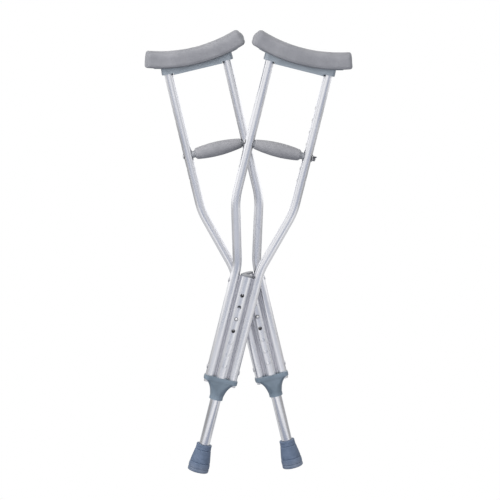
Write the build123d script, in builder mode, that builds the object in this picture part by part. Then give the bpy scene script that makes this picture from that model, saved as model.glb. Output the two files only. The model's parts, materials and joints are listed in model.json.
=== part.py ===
from build123d import *

# A pair of youth-size aluminium underarm crutches, stood crossed like an X.
#
# Each crutch is modelled once in its own frame, in millimetres: Z runs up the crutch from the middle
# of its rubber tip, X across it from upright to upright, and Y through its thickness. The pieces are
# then placed twice: the front crutch leans its top to +X and stands at -Y, and the back crutch leans
# to -X and stands at +Y. The row's origin is on the floor, midway between the two crutches.

import os
from math import cos, pi, radians, sin, sqrt

os.makedirs("parts", exist_ok=True)

# ---- how the pair stands -------------------------------------------------------------------------
LEAN_DEG = 13.65  # each crutch's tilt from the vertical
CROSSING = 429.0  # height up each crutch at which the two centre lines cross, seen from the front
HALF_GAP = 16.0  # from the row's middle plane to each crutch's own plane

# ---- tubes ---------------------------------------------------------------------------------------
UPRIGHT_R = 19.05 / 2  # 3/4 inch tube
OUTER_R = 25.4 / 2  # 1 inch tube, the fixed centre tube
LEG_R = 22.2 / 2  # 7/8 inch tube, the telescopic leg
WALL = 1.2
INCH = 25.4  # pitch of both rows of adjustment holes

OUTER_FOOT, OUTER_TOP = 182.0, 423.5
LEG_FOOT, LEG_TOP = 13.6, 357.0

GRIP_SPREAD = 61.4  # from the centre line to each upright, beside the grip
TUBE_SPREAD = 24.2  # from the centre line to each upright, beside the centre tube
UPRIGHT_FOOT, UPRIGHT_TOP = 190.0, 874.0
LOWER_BEND, UPPER_BEND = 442.0, 575.0
LOWER_BEND_R, UPPER_BEND_R = 120.0, 140.0
PLUG_CAP, PLUG_STEM = 3.4, 9.0  # the centre tube's end plug, above and below the tube's top
SPACER_WIDTH, SPACER_FOOT, SPACER_TOP = 6.0, 206.0, 422.0

# ---- height adjustment ---------------------------------------------------------------------------
BUTTON_HEIGHT = 333.0
HOLES_ABOVE, HOLES_BELOW = 2, 4  # free holes above and below the one that the button is in
BUTTON_R, BUTTON_HOLE_R = 3.95, 4.1
BUTTON_PROUD = 3.0
SPRING_WIDTH, SPRING_THICK = 8.0, 0.8
SPRING_ARM = 8.5  # from the leg's centre line to the middle of a spring arm
SPRING_BEND = BUTTON_HEIGHT - 45.0
GLIDE_RIM, GLIDE_STEM, GLIDE_BORE_R = 3.0, 8.0, 5.0  # the collar that steadies the leg's top

# ---- hand grip -----------------------------------------------------------------------------------
GRIP_HEIGHT = 693.0
GRIP_HOLES_BELOW, GRIP_HOLES_ABOVE = 2, 4
BOLT_R, BOLT_HOLE_R = 3.175, 3.4  # 1/4 inch bolt
BOLT_END = 79.0
HEAD_R, HEAD_CROWN = 5.6, 2.0  # the bolt's domed head
FOAM_INNER_END, FOAM_OUTER_END = -50.0, 45.5  # the foam reaches further towards the other crutch
FOAM_R, FOAM_INNER_R, FOAM_OUTER_R = 15.4, 9.6, 12.4  # at its middle and at its two ends
FOAM_INNER_ROUND, FOAM_OUTER_ROUND = 1.2, 3.5
CORE_R = 8.0
CAP_FLANGE_R, CAP_FLANGE, CAP_NECK_R = 9.2, 1.2, 7.2
CAP_SEAT_GAP = 0.3  # between an end cap's hollow and the upright
WASHER_R, WASHER_THICK = 8.0, 1.2
NUT_HUB_R, NUT_NOSE_R, NUT_HEIGHT = 5.6, 4.6, 5.0
WING_REACH, WING_THICK, WING_DEG = 14.0, 2.0, 20.0

# ---- lower clamp, which holds the uprights beside the centre tube ----------------------------------
CLAMP_FOOT, CLAMP_FLANGE, CLAMP_TOP = 157.5, 196.0, 204.5
CLAMP_WIDTH, CLAMP_DEPTH, CLAMP_CORNER = 70.6, 31.0, 10.0
COLLAR_R, COLLAR_HEIGHT = 14.2, 12.0
FIT = 0.05  # radial gap of parts that sit in each other without moving
SLIDE_FIT = 0.1  # radial gap of the leg in the clamp's collar

# ---- rivets --------------------------------------------------------------------------------------
RIVET_R, RIVET_HEAD_R, RIVET_HEAD = 2.4, 4.8, 1.6
SIDE_HEAD_R, SIDE_HEAD = 3.6, 1.2  # the smaller heads on the clamp and the saddle
FRAME_RIVETS = (222.0, 408.0)
CLAMP_RIVET = 200.2
SADDLE_RIVET = 869.5

# ---- underarm rest -------------------------------------------------------------------------------
PAD_UNDERSIDE = 871.7  # height of the pad's lower surface at the middle
PAD_THICK, PAD_WIDTH, PAD_EDGE_R = 35.0, 45.0, 12.0
PAD_BOTTOM_R = 330.0  # the pad is bent round a point this far above its lower surface
PAD_HALF_DEG = 19.3
PAD_INNER_ROUND, PAD_OUTER_ROUND = 10.0, 3.0
SADDLE_FOOT, SOCKET_FOOT = 861.0, 865.0  # the saddle's underside is higher round the uprights
SADDLE_HALF, SADDLE_WIDTH, SADDLE_CORNER = 74.5, 25.0, 8.0
SADDLE_STEP = 51.0  # from the centre line to where the underside steps up
POCKET_LENGTH, POCKET_PITCH, POCKET_DEPTH = 29.0, 32.5, 6.0  # moulding pockets under the saddle
KEEL_WIDTH, KEEL_HEIGHT, KEEL_HALF_DEG = 16.0, 15.0, 15.5  # the saddle's spine inside the pad

# ---- rubber tip ----------------------------------------------------------------------------------
TIP_HEIGHT, TIP_BASE_R, TIP_TOP_R = 58.5, 22.0, 15.2
TIP_FLOOR = 12.0
TIP_EDGE_R = 2.0
TIP_SKIRT, TIP_LIP = 14.0, 53.0  # heights of the straight skirt's top and the lip's underside
TIP_LIP_STEP = 1.2
TIP_GROOVES, TIP_GROOVE_R = (7.5, 20.0, 47.0), 1.3
TREAD_RINGS, TREAD_DEPTH = (9.0, 13.0, 17.0), 1.5

arc_centre = PAD_UNDERSIDE + PAD_BOTTOM_R
button_holes = [BUTTON_HEIGHT + INCH * n for n in range(-HOLES_BELOW, HOLES_ABOVE + 1)]
grip_holes = [GRIP_HEIGHT + INCH * n for n in range(-GRIP_HOLES_BELOW, GRIP_HOLES_ABOVE + 1)]
upright_face = GRIP_SPREAD + UPRIGHT_R  # the outer face of an upright beside the grip
across_at_grip = Plane(origin=(0, 0, GRIP_HEIGHT), x_dir=(0, 1, 0), z_dir=(1, 0, 0))


# ---- the telescopic leg --------------------------------------------------------------------------
def tip_radius(height):
    """The tip's outer radius, which eases from its base to its top."""
    share = (height - TIP_SKIRT) / (TIP_HEIGHT - TIP_SKIRT)
    return TIP_TOP_R + (TIP_BASE_R - TIP_TOP_R) * (1 + cos(pi * share)) / 2


with BuildPart() as rubber_tip:
    with BuildSketch(Plane.XZ):
        with BuildLine():
            base = Line((0, 0), (TIP_BASE_R - TIP_EDGE_R, 0))
            edge = JernArc(base @ 1, (1, 0), TIP_EDGE_R, 90)
            skirt = Line(edge @ 1, (TIP_BASE_R, TIP_SKIRT))
            flank = Spline(*[(tip_radius(z), z) for z in (TIP_SKIRT, 24, 34, 44, TIP_LIP)])
            Polyline(
                flank @ 1,
                (TIP_TOP_R + TIP_LIP_STEP, TIP_LIP + 1.0),
                (TIP_TOP_R + TIP_LIP_STEP, TIP_HEIGHT - 1.0),
                (TIP_TOP_R + 0.2, TIP_HEIGHT),
                (LEG_R + 0.02, TIP_HEIGHT),
                (LEG_R + 0.02, TIP_FLOOR),
                (0, TIP_FLOOR),
                (0, 0),
            )
        make_face()
        # Moulded grooves round the flank.
        with Locations(*[(tip_radius(height) + 0.2, height) for height in TIP_GROOVES]):
            Circle(TIP_GROOVE_R, mode=Mode.SUBTRACT)
    revolve(axis=Axis.Z)
    # A ringed tread underneath.
    with BuildSketch(Plane.XY):
        for radius in TREAD_RINGS:
            Circle(radius + 1.0)
            Circle(radius - 1.0, mode=Mode.SUBTRACT)
    extrude(amount=TREAD_DEPTH, mode=Mode.SUBTRACT)

with BuildPart() as tip_washer:
    with BuildSketch(Plane.XY.offset(TIP_FLOOR)):
        Circle(LEG_R - 0.2)
        Circle(4.0, mode=Mode.SUBTRACT)
    extrude(amount=LEG_FOOT - TIP_FLOOR)

with BuildPart() as leg_tube:
    with BuildSketch(Plane.XY.offset(LEG_FOOT)):
        Circle(LEG_R)
        Circle(LEG_R - WALL, mode=Mode.SUBTRACT)
    extrude(amount=LEG_TOP - LEG_FOOT)
    # The buttons' holes, and a spare pair one pitch lower.
    with BuildSketch(Plane.XZ):
        with Locations((0, BUTTON_HEIGHT), (0, BUTTON_HEIGHT - INCH)):
            Circle(BUTTON_HOLE_R)
    extrude(amount=LEG_R + 1, both=True, mode=Mode.SUBTRACT)

with BuildPart() as leg_glide:
    with BuildSketch(Plane.XY.offset(LEG_TOP)):
        Circle(OUTER_R - WALL - FIT)
    extrude(amount=GLIDE_RIM)
    with BuildSketch(Plane.XY.offset(LEG_TOP)):
        Circle(LEG_R - WALL - FIT)
    extrude(amount=-GLIDE_STEM)
    with BuildSketch(Plane.XY.offset(LEG_TOP - GLIDE_STEM)):
        Circle(GLIDE_BORE_R)
    extrude(amount=GLIDE_STEM + GLIDE_RIM, mode=Mode.SUBTRACT)

with BuildPart() as snap_spring:
    with BuildSketch(Plane.YZ):
        with BuildLine():
            strip = FilletPolyline(
                (-SPRING_ARM, BUTTON_HEIGHT + 6),
                (-SPRING_ARM, BUTTON_HEIGHT - 8),
                (0, SPRING_BEND),
                (SPRING_ARM, BUTTON_HEIGHT - 8),
                (SPRING_ARM, BUTTON_HEIGHT + 6),
                radius=2.5,
            )
        trace(strip, line_width=SPRING_THICK)
    extrude(amount=SPRING_WIDTH / 2, both=True)

button_root = SPRING_ARM + SPRING_THICK / 2
with BuildPart() as front_button:
    with BuildSketch(Plane.XZ.offset(button_root)):
        with Locations((0, BUTTON_HEIGHT)):
            Circle(BUTTON_R)
    extrude(amount=OUTER_R + BUTTON_PROUD - button_root)
    fillet(front_button.edges().filter_by(GeomType.CIRCLE).sort_by(Axis.Y)[0], 1.4)

with BuildPart() as rear_button:
    add(front_button.part.mirror(Plane.XZ))

# ---- the fixed frame -----------------------------------------------------------------------------
with BuildPart() as outer_tube:
    with BuildSketch(Plane.XY.offset(OUTER_FOOT)):
        Circle(OUTER_R)
        Circle(OUTER_R - WALL, mode=Mode.SUBTRACT)
    extrude(amount=OUTER_TOP - OUTER_FOOT)
    with BuildSketch(Plane.XZ):
        with Locations(*[(0, height) for height in button_holes]):
            Circle(BUTTON_HOLE_R)
    extrude(amount=OUTER_R + 1, both=True, mode=Mode.SUBTRACT)
    with BuildSketch(Plane.YZ):
        with Locations(*[(0, height) for height in FRAME_RIVETS]):
            Circle(RIVET_R + FIT)
    extrude(amount=OUTER_R + 1, both=True, mode=Mode.SUBTRACT)

with BuildPart() as tube_plug:
    with BuildSketch(Plane.XY.offset(OUTER_TOP)):
        Circle(OUTER_R)
    extrude(amount=PLUG_CAP)
    fillet(tube_plug.edges().sort_by(Axis.Z)[-1], 1.2)
    with BuildSketch(Plane.XY.offset(OUTER_TOP)):
        Circle(OUTER_R - WALL - FIT)
    extrude(amount=-PLUG_STEM)

with BuildPart() as right_upright:
    with BuildLine(Plane.XZ) as route:
        FilletPolyline(
            (TUBE_SPREAD, UPRIGHT_FOOT),
            (TUBE_SPREAD, LOWER_BEND),
            (GRIP_SPREAD, UPPER_BEND),
            (GRIP_SPREAD, UPRIGHT_TOP),
            radius=[LOWER_BEND_R, UPPER_BEND_R],
        )
    with BuildSketch(Plane(origin=route.line @ 0, z_dir=route.line % 0)):
        Circle(UPRIGHT_R)
        Circle(UPRIGHT_R - WALL, mode=Mode.SUBTRACT)
    sweep(path=route.line)
    with BuildSketch(Plane.YZ.offset(GRIP_SPREAD)):
        with Locations(*[(0, height) for height in grip_holes]):
            Circle(BOLT_HOLE_R)
    extrude(amount=UPRIGHT_R + 1, both=True, mode=Mode.SUBTRACT)
    with BuildSketch(Plane.YZ.offset(TUBE_SPREAD)):
        with Locations(*[(0, height) for height in FRAME_RIVETS]):
            Circle(RIVET_R + FIT)
    extrude(amount=UPRIGHT_R + 1, both=True, mode=Mode.SUBTRACT)
    for spread, height in ((TUBE_SPREAD, CLAMP_RIVET), (GRIP_SPREAD, SADDLE_RIVET)):
        with BuildSketch(Plane.YZ.offset(spread)):
            with Locations((0, height)):
                Circle(RIVET_R + FIT)
        extrude(amount=UPRIGHT_R + 1, mode=Mode.SUBTRACT)

with BuildPart() as left_upright:
    add(right_upright.part.mirror(Plane.YZ))

with BuildPart() as tube_spacers:
    # Long strips that fill the gap between the centre tube and each upright.
    with BuildSketch(Plane.YZ.offset(OUTER_R - 1)):
        with Locations((0, (SPACER_FOOT + SPACER_TOP) / 2)):
            Rectangle(SPACER_WIDTH, SPACER_TOP - SPACER_FOOT)
        with Locations(*[(0, height) for height in FRAME_RIVETS]):
            Circle(RIVET_R + FIT, mode=Mode.SUBTRACT)
    extrude(amount=TUBE_SPREAD - OUTER_R)
    with BuildSketch(Plane.XY.offset(OUTER_FOOT)):
        Circle(OUTER_R + FIT)
        with Locations((TUBE_SPREAD, 0)):
            Circle(UPRIGHT_R + FIT)
    extrude(amount=OUTER_TOP - OUTER_FOOT, mode=Mode.SUBTRACT)
    mirror(about=Plane.YZ)

rivet_face = TUBE_SPREAD + UPRIGHT_R
with BuildPart() as frame_rivets:
    with BuildSketch(Plane.YZ.offset(rivet_face - 2.0)):
        with Locations(*[(0, height) for height in FRAME_RIVETS]):
            Circle(RIVET_HEAD_R)
    extrude(amount=RIVET_HEAD + 2.0)
    fillet(frame_rivets.edges().group_by(Axis.X)[-1], 0.8 * RIVET_HEAD)
    # The heads are set down onto the round tube.
    with BuildSketch(Plane.XY.offset(UPRIGHT_FOOT)):
        with Locations((TUBE_SPREAD, 0)):
            Circle(UPRIGHT_R)
    extrude(amount=LOWER_BEND - UPRIGHT_FOOT, mode=Mode.SUBTRACT)
    with BuildSketch(Plane.YZ.offset(OUTER_R - WALL + 0.1)):
        with Locations(*[(0, height) for height in FRAME_RIVETS]):
            Circle(RIVET_R)
    extrude(amount=rivet_face - OUTER_R + WALL)
    mirror(about=Plane.YZ)

with BuildPart() as lower_clamp:
    with BuildSketch(Plane.XY.offset(CLAMP_FLANGE)):
        RectangleRounded(CLAMP_WIDTH, CLAMP_DEPTH, CLAMP_CORNER)
    extrude(amount=CLAMP_TOP - CLAMP_FLANGE)
    fillet(lower_clamp.edges().group_by(Axis.Z)[-1], 1.5)
    # The body narrows in a concave sweep from the flange to the collar round the leg.
    for height, width, depth, corner in (
        (CLAMP_FLANGE, CLAMP_WIDTH - 5.0, CLAMP_DEPTH - 2.0, CLAMP_CORNER),
        (188.5, 47.0, 2 * COLLAR_R + 0.6, CLAMP_CORNER),
        (178.0, 35.5, 2 * COLLAR_R + 0.3, 12.5),
        (167.0, 2 * COLLAR_R + 1.0, 2 * COLLAR_R, COLLAR_R - 0.2),
    ):
        with BuildSketch(Plane.XY.offset(height)):
            RectangleRounded(width, depth, corner)
    loft()
    with BuildSketch(Plane.XY.offset(CLAMP_FOOT)):
        Circle(COLLAR_R)
    extrude(amount=COLLAR_HEIGHT)
    with BuildSketch(Plane.XY.offset(CLAMP_FOOT)):
        Circle(LEG_R + SLIDE_FIT)
    extrude(amount=CLAMP_TOP - CLAMP_FOOT, mode=Mode.SUBTRACT)
    with BuildSketch(Plane.XY.offset(OUTER_FOOT)):
        Circle(OUTER_R + FIT)
    extrude(amount=CLAMP_TOP - OUTER_FOOT, mode=Mode.SUBTRACT)
    with BuildSketch(Plane.XY.offset(UPRIGHT_FOOT)):
        with Locations((-TUBE_SPREAD, 0), (TUBE_SPREAD, 0)):
            Circle(UPRIGHT_R + FIT)
    extrude(amount=CLAMP_TOP - UPRIGHT_FOOT, mode=Mode.SUBTRACT)
    with BuildSketch(Plane.YZ):
        with Locations((0, CLAMP_RIVET)):
            Circle(RIVET_R + FIT)
    extrude(until=Until.LAST, both=True, mode=Mode.SUBTRACT)

def side_rivets(height, spread, face):
    """A pair of rivets at one height: each passes from a face through an upright's outer wall."""
    root = spread + UPRIGHT_R - WALL - 1.5
    with BuildPart() as pair:
        with BuildSketch(Plane.YZ.offset(root)):
            with Locations((0, height)):
                Circle(RIVET_R)
        extrude(amount=face - root)
        with BuildSketch(Plane.YZ.offset(face)):
            with Locations((0, height)):
                Circle(SIDE_HEAD_R)
        extrude(amount=SIDE_HEAD)
        fillet(pair.edges().sort_by(Axis.X)[-1], 0.8 * SIDE_HEAD)
        mirror(about=Plane.YZ)
    return pair


clamp_rivets = side_rivets(CLAMP_RIVET, TUBE_SPREAD, CLAMP_WIDTH / 2)
saddle_rivets = side_rivets(SADDLE_RIVET, GRIP_SPREAD, SADDLE_HALF)


# ---- the underarm rest ---------------------------------------------------------------------------
def arc_point(radius, degrees):
    """A point on a circle about the pad's centre of curvature, 0 degrees being straight down."""
    angle = radians(degrees)
    return (radius * sin(angle), arc_centre - radius * cos(angle))


def arc_band(low_radius, high_radius, half_degrees):
    """The outline of a band bent round the pad's centre of curvature, for use inside BuildLine."""
    outer = ThreePointArc(*[arc_point(low_radius, a) for a in (-half_degrees, 0, half_degrees)])
    inner = ThreePointArc(*[arc_point(high_radius, a) for a in (half_degrees, 0, -half_degrees)])
    Line(outer @ 1, inner @ 0)
    Line(inner @ 1, outer @ 0)


beam_top_r = PAD_BOTTOM_R + 0.2  # the beam stops just under the pad
beam_end_top = arc_centre - sqrt(beam_top_r**2 - SADDLE_HALF**2)
with BuildPart() as underarm_saddle:
    with BuildSketch(Plane.XZ):
        with BuildLine():
            Polyline(
                (-SADDLE_HALF, beam_end_top),
                (-SADDLE_HALF, SOCKET_FOOT),
                (-SADDLE_STEP, SOCKET_FOOT),
                (-SADDLE_STEP, SADDLE_FOOT),
                (SADDLE_STEP, SADDLE_FOOT),
                (SADDLE_STEP, SOCKET_FOOT),
                (SADDLE_HALF, SOCKET_FOOT),
                (SADDLE_HALF, beam_end_top),
            )
            ThreePointArc(
                (SADDLE_HALF, beam_end_top),
                (0, arc_centre - beam_top_r),
                (-SADDLE_HALF, beam_end_top),
            )
        make_face()
    extrude(amount=SADDLE_WIDTH / 2, both=True)
    upright_edges = underarm_saddle.edges().filter_by(Axis.Z).group_by(Axis.X)
    fillet(upright_edges[0] + upright_edges[-1], SADDLE_CORNER)
    # The spine that the pad is pushed onto.
    with BuildSketch(Plane.XZ):
        with BuildLine():
            arc_band(beam_top_r + 1.0, beam_top_r - KEEL_HEIGHT, KEEL_HALF_DEG)
        make_face()
    extrude(amount=KEEL_WIDTH / 2, both=True)
    # Moulding pockets underneath, between the ribs.
    with BuildSketch(Plane.XY.offset(SADDLE_FOOT)):
        with GridLocations(POCKET_PITCH, 0, 3, 1):
            RectangleRounded(POCKET_LENGTH, SADDLE_WIDTH - 5.0, 2.0)
    extrude(amount=POCKET_DEPTH, mode=Mode.SUBTRACT)
    with BuildSketch(Plane.XY.offset(SOCKET_FOOT)):
        with Locations((-GRIP_SPREAD, 0), (GRIP_SPREAD, 0)):
            Circle(UPRIGHT_R + FIT)
    extrude(amount=UPRIGHT_TOP - SOCKET_FOOT, mode=Mode.SUBTRACT)
    with BuildSketch(Plane.YZ):
        with Locations((0, SADDLE_RIVET)):
            Circle(RIVET_R + FIT)
    extrude(amount=SADDLE_HALF + 1, both=True, mode=Mode.SUBTRACT)

pad_mid_r = PAD_BOTTOM_R - PAD_THICK / 2
with BuildPart() as underarm_pad:
    with BuildLine(Plane.XZ) as spine:
        ThreePointArc(*[arc_point(pad_mid_r, a) for a in (-PAD_HALF_DEG, 0, PAD_HALF_DEG)])
    with BuildSketch(Plane(origin=spine.line @ 0, x_dir=(0, 1, 0), z_dir=spine.line % 0)):
        RectangleRounded(PAD_WIDTH, PAD_THICK, PAD_EDGE_R)
    sweep(path=spine.line)
    # The end nearer the other crutch is closed and round, and the outer one is cut square.
    fillet(underarm_pad.faces().sort_by(Axis.X)[0].edges(), PAD_INNER_ROUND)
    fillet(underarm_pad.faces().sort_by(Axis.X)[-1].edges(), PAD_OUTER_ROUND)
    with BuildSketch(Plane.XZ):
        with BuildLine():
            arc_band(PAD_BOTTOM_R + 1.0, beam_top_r - KEEL_HEIGHT - 0.2, KEEL_HALF_DEG + 0.1)
        make_face()
    extrude(amount=KEEL_WIDTH / 2 + 0.2, both=True, mode=Mode.SUBTRACT)

# ---- the hand grip -------------------------------------------------------------------------------
with BuildPart() as grip_core:
    with BuildSketch(across_at_grip.offset(FOAM_INNER_END)):
        Circle(CORE_R)
        Circle(BOLT_HOLE_R, mode=Mode.SUBTRACT)
    extrude(amount=FOAM_OUTER_END - FOAM_INNER_END)

with BuildPart() as grip_foam:
    with BuildSketch(Plane.XZ):
        with BuildLine():
            crown = ThreePointArc(
                (FOAM_INNER_END, GRIP_HEIGHT + FOAM_INNER_R),
                (0, GRIP_HEIGHT + FOAM_R),
                (FOAM_OUTER_END, GRIP_HEIGHT + FOAM_OUTER_R),
            )
            Polyline(
                crown @ 1,
                (FOAM_OUTER_END, GRIP_HEIGHT + CORE_R + FIT),
                (FOAM_INNER_END, GRIP_HEIGHT + CORE_R + FIT),
                crown @ 0,
            )
        make_face()
    revolve(axis=Axis((0, 0, GRIP_HEIGHT), (1, 0, 0)))
    rims = grip_foam.faces().filter_by(Axis.X).edges().sort_by(SortBy.RADIUS)
    fillet(rims[-1], FOAM_OUTER_ROUND)
    fillet(rims[-2], FOAM_INNER_ROUND)


def end_cap(foam_end):
    """The moulded cap between one end of the foam and the upright beyond it."""
    side = 1 if foam_end > 0 else -1
    with BuildPart() as cap:
        with BuildSketch(across_at_grip.offset(foam_end)):
            Circle(CAP_FLANGE_R)
        extrude(amount=side * CAP_FLANGE)
        with BuildSketch(across_at_grip.offset(foam_end)):
            Circle(CAP_NECK_R)
        extrude(amount=side * GRIP_SPREAD - foam_end)
        with BuildSketch(across_at_grip.offset(foam_end)):
            Circle(BOLT_HOLE_R)
        extrude(amount=side * GRIP_SPREAD - foam_end, mode=Mode.SUBTRACT)
        # The outer end is hollowed to sit against the round upright.
        with BuildSketch(Plane.XY.offset(GRIP_HEIGHT - 2 * CAP_FLANGE_R)):
            with Locations((side * GRIP_SPREAD, 0)):
                Circle(UPRIGHT_R + CAP_SEAT_GAP)
        extrude(amount=4 * CAP_FLANGE_R, mode=Mode.SUBTRACT)
    return cap.part


with BuildPart() as grip_end_caps:
    add(end_cap(FOAM_INNER_END))
    add(end_cap(FOAM_OUTER_END))

bolt_face = -upright_face - FIT
with BuildPart() as grip_bolt:
    with BuildSketch(Plane.XZ):
        with BuildLine():
            head = ThreePointArc(
                (bolt_face - HEAD_CROWN, GRIP_HEIGHT),
                (bolt_face - 0.7 * HEAD_CROWN, GRIP_HEIGHT + 0.65 * HEAD_R),
                (bolt_face, GRIP_HEIGHT + HEAD_R),
            )
            Polyline(
                head @ 1,
                (bolt_face, GRIP_HEIGHT + BOLT_R),
                (BOLT_END - 0.8, GRIP_HEIGHT + BOLT_R),
                (BOLT_END, GRIP_HEIGHT + BOLT_R - 0.8),
                (BOLT_END, GRIP_HEIGHT),
                head @ 0,
            )
        make_face()
    revolve(axis=Axis((0, 0, GRIP_HEIGHT), (1, 0, 0)))

washer_face = upright_face + FIT
with BuildPart() as grip_washer:
    with BuildSketch(across_at_grip.offset(washer_face)):
        Circle(WASHER_R)
        Circle(BOLT_R + SLIDE_FIT, mode=Mode.SUBTRACT)
    extrude(amount=WASHER_THICK)

nut_face = washer_face + WASHER_THICK + FIT
wing_plane = Plane(
    origin=(nut_face, 0, GRIP_HEIGHT),
    x_dir=(1, 0, 0),
    z_dir=(0, -sin(radians(WING_DEG)), -cos(radians(WING_DEG))),
)
with BuildPart() as wing_nut:
    with BuildSketch(wing_plane):
        with BuildLine():
            Polyline(
                (0, 0),
                (0, NUT_HUB_R),
                (NUT_HEIGHT, NUT_NOSE_R),
                (NUT_HEIGHT, 0),
                close=True,
            )
        make_face()
    revolve(axis=Axis((0, 0, GRIP_HEIGHT), (1, 0, 0)))
    with BuildSketch(wing_plane):
        with BuildLine():
            wing = Spline(
                (0.4, NUT_HUB_R - 1.5),
                (1.6, 0.75 * WING_REACH),
                (4.6, WING_REACH),
                (NUT_HEIGHT + 3.2, 0.86 * WING_REACH),
                (NUT_HEIGHT + 0.6, 0.55 * WING_REACH),
                (NUT_HEIGHT, NUT_NOSE_R - 1.0),
            )
            Line(wing @ 1, wing @ 0)
        make_face()
        mirror(about=Plane.XZ)
    extrude(amount=WING_THICK / 2, both=True)
    with BuildSketch(across_at_grip.offset(washer_face)):
        Circle(BOLT_R + SLIDE_FIT)
    extrude(amount=20, mode=Mode.SUBTRACT)

# ---- both crutches, placed -----------------------------------------------------------------------
lean = radians(LEAN_DEG)
# How far the tilted tip's lowest rim lies below the middle of its base.
tip_drop = (TIP_BASE_R - TIP_EDGE_R) * sin(lean) + TIP_EDGE_R * (1 - cos(lean))
crossing_height = CROSSING * cos(lean) + tip_drop


def crutch_plane(side):
    """The plane of one crutch's own frame: side is 1 for the front crutch and -1 for the back one."""
    up = Vector(side * sin(lean), 0, cos(lean))
    across = Vector(cos(lean), 0, -side * sin(lean))
    origin = Vector(0, -side * HALF_GAP, crossing_height) - up * CROSSING
    return Plane(origin=origin, x_dir=across, z_dir=up)


pieces = {
    "rubber_tip": rubber_tip,
    "tip_washer": tip_washer,
    "leg_tube": leg_tube,
    "leg_glide": leg_glide,
    "snap_spring": snap_spring,
    "front_button": front_button,
    "rear_button": rear_button,
    "outer_tube": outer_tube,
    "tube_plug": tube_plug,
    "left_upright": left_upright,
    "right_upright": right_upright,
    "tube_spacers": tube_spacers,
    "frame_rivets": frame_rivets,
    "lower_clamp": lower_clamp,
    "clamp_rivets": clamp_rivets,
    "underarm_saddle": underarm_saddle,
    "saddle_rivets": saddle_rivets,
    "underarm_pad": underarm_pad,
    "grip_core": grip_core,
    "grip_foam": grip_foam,
    "grip_end_caps": grip_end_caps,
    "grip_bolt": grip_bolt,
    "grip_washer": grip_washer,
    "wing_nut": wing_nut,
}

# The pads' round ends face each other, and so do the grips' longer ends.
handed = {"underarm_pad", "grip_core", "grip_foam", "grip_end_caps"}

for crutch, side in (("front", 1), ("back", -1)):
    for name, piece in pieces.items():
        shape = piece.part
        if name in handed and crutch == "back":
            shape = shape.mirror(Plane.YZ)
        placed = shape.moved(crutch_plane(side).location)
        placed.label = f"{crutch}_{name}"
        export_step(placed, f"parts/{placed.label}.step")
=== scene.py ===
"""The looks of a crossed pair of underarm crutches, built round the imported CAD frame.

Metres throughout. Each crutch has its own local frame, as in the CAD: x across it from upright to
upright, y through its thickness and z up it from the middle of its rubber tip's base.
"""

import json
import math

import bmesh
import bpy
from mathutils import Matrix, Quaternion, Vector, noise


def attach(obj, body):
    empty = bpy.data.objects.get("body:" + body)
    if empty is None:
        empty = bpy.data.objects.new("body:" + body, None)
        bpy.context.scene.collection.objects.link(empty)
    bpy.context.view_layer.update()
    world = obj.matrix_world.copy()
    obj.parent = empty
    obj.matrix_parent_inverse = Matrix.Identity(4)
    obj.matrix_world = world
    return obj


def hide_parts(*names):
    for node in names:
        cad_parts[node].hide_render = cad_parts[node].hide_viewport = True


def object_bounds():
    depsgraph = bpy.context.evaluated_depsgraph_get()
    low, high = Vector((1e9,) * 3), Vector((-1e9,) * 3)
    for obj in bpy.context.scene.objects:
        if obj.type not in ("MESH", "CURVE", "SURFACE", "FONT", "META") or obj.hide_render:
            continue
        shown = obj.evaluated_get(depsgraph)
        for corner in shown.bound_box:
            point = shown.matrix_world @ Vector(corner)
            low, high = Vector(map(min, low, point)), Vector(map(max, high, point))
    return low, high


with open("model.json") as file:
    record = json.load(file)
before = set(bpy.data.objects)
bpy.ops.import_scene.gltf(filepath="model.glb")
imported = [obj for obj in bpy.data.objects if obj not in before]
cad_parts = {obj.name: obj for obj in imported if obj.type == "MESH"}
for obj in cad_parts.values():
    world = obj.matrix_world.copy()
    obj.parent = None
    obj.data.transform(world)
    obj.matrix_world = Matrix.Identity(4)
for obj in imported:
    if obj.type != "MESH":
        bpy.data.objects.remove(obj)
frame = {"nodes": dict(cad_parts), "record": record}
cad_low, cad_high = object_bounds()
nodes = frame["nodes"]
mounts = {mount["name"]: mount for mount in frame["record"]["mounts"]}

MM = 0.001
FULL_TURN = 2 * math.pi

# ---- sizes that the frame doesn't give ------------------------------------------------------------
PAD_BEND_R = 330 * MM  # radius of the pad's underside
PAD_THICK = 35.0 * MM
PAD_ROUND_END, PAD_SQUARE_END = 8.5 * MM, 5.5 * MM  # rounding of the pad's two ends, seen side on
PAD_ROUND_BULGE, PAD_SQUARE_BULGE = 2.6 * MM, 0.4 * MM  # how far each end's face swells
# The foam is pushed along its carrier a little, towards its round end.
PAD_ROUND_PUSH, PAD_SQUARE_PUSH = 2.0 * MM, -2.2 * MM
PAD_PLAN_R = 12.0 * MM  # rounding of both ends, seen from above
PAD_SEAM_DEPTH, PAD_SEAM_WIDTH = 0.35 * MM, 0.9 * MM
PAD_SEAM_PLACE = -0.78  # the seam's height on the pad's side, as a share of its half thickness
PAD_TOP_SQUARENESS, PAD_UNDERSIDE_SQUARENESS = 2.7, 6.5  # 2 is an ellipse, and more is squarer
THREAD_PITCH, THREAD_DEPTH = 1.27 * MM, 0.45 * MM
THREAD_LENGTH = 15 * MM
# How far the foam's surface rises and falls, and over what distance.
PAD_WAVE, PAD_WAVE_LENGTH = 0.28 * MM, 22 * MM
PAD_DIMPLE, PAD_DIMPLE_LENGTH = 0.12 * MM, 6 * MM
GRIP_WAVE, GRIP_WAVE_LENGTH = 0.22 * MM, 15 * MM
# The grip's radius at its middle, and the radius and edge rounding of its slim and blunt ends.
GRIP_MIDDLE_R = 15.0 * MM
GRIP_SLIM_R, GRIP_SLIM_ROUND = 9.6 * MM, 1.4 * MM
GRIP_BLUNT_R, GRIP_BLUNT_ROUND = 11.3 * MM, 3.0 * MM
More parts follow.
